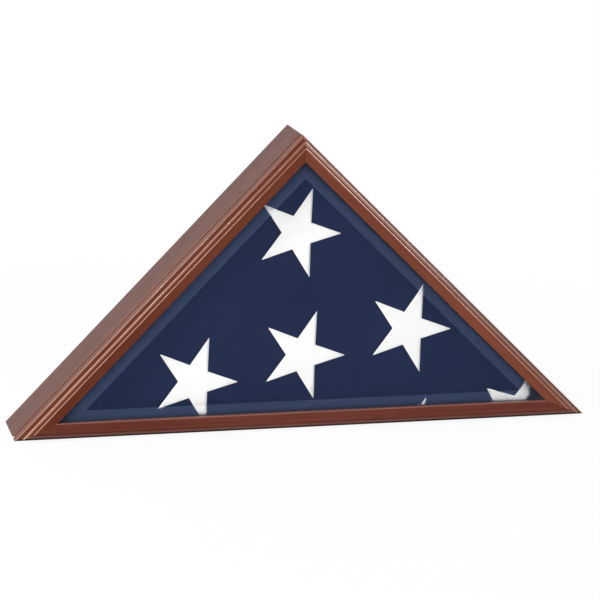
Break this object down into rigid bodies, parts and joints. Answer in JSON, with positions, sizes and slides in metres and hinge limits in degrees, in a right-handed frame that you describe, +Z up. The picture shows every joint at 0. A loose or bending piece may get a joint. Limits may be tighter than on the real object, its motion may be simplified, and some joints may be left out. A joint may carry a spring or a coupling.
{
  "type": "flag display case",
  "caption": "Triangular wooden display case with a stepped mitred frame, bevelled glass front and hinged back door, holding a folded flag with sewn stars.",
  "frame": {"origin": "on the underside of the base, midway across the width and midway between the moulding's front plane and the boards' back edges", "axes": "+X to the viewer's right along the base, +Y from the glass front to the back door, +Z up to the apex"},
  "size_m": [0.648, 0.1112, 0.328],
  "materials": {
    "stained_wood": "mahogany stain under gloss lacquer",
    "frame_wood": "mahogany stain under gloss lacquer",
    "stop_wood": "stained, matt",
    "beech": "bare",
    "door_plywood": "stained plywood, satin",
    "glass": "clear, bevelled edge",
    "flag_cloth": "woven cotton",
    "star_cloth": "embroidered",
    "brass": "polished",
    "brass_screw": "polished",
    "steel": "bright",
    "magnet": "nickel plated"
  },
  "bodies": {
    "case": {"left_side_board": "stained_wood", "right_side_board": "stained_wood", "base_board": "stained_wood", "corner_biscuits": "beech", "frame_left_rail": "frame_wood", "frame_right_rail": "frame_wood", "frame_base_rail": "frame_wood", "frame_biscuits": "beech", "frame_v_nails": "steel", "glass_pane": "glass", "glass_stop_left": "stop_wood", "glass_stop_right": "stop_wood", "glass_stop_base": "stop_wood", "stop_brads": "steel", "left_hinge_case_leaf": "brass", "left_hinge_pin": "steel", "right_hinge_case_leaf": "brass", "right_hinge_pin": "steel", "hinge_case_screws": "brass_screw", "door_magnets": "magnet", "folded_flag": "flag_cloth", "flag_stars": "star_cloth"},
    "back_door": {"back_door_panel": "door_plywood", "left_hinge_door_leaf": "brass", "right_hinge_door_leaf": "brass", "hinge_door_screws": "brass_screw", "door_strike_discs": "steel"}
  },
  "joints": [
    {"name": "back_door_hinge", "type": "hinge", "parent": "case", "child": "back_door", "pos_m": [0, 0.0559, 0.0084], "axis": [-1, 0, 0], "range_deg": [0, 91]}
  ]
}
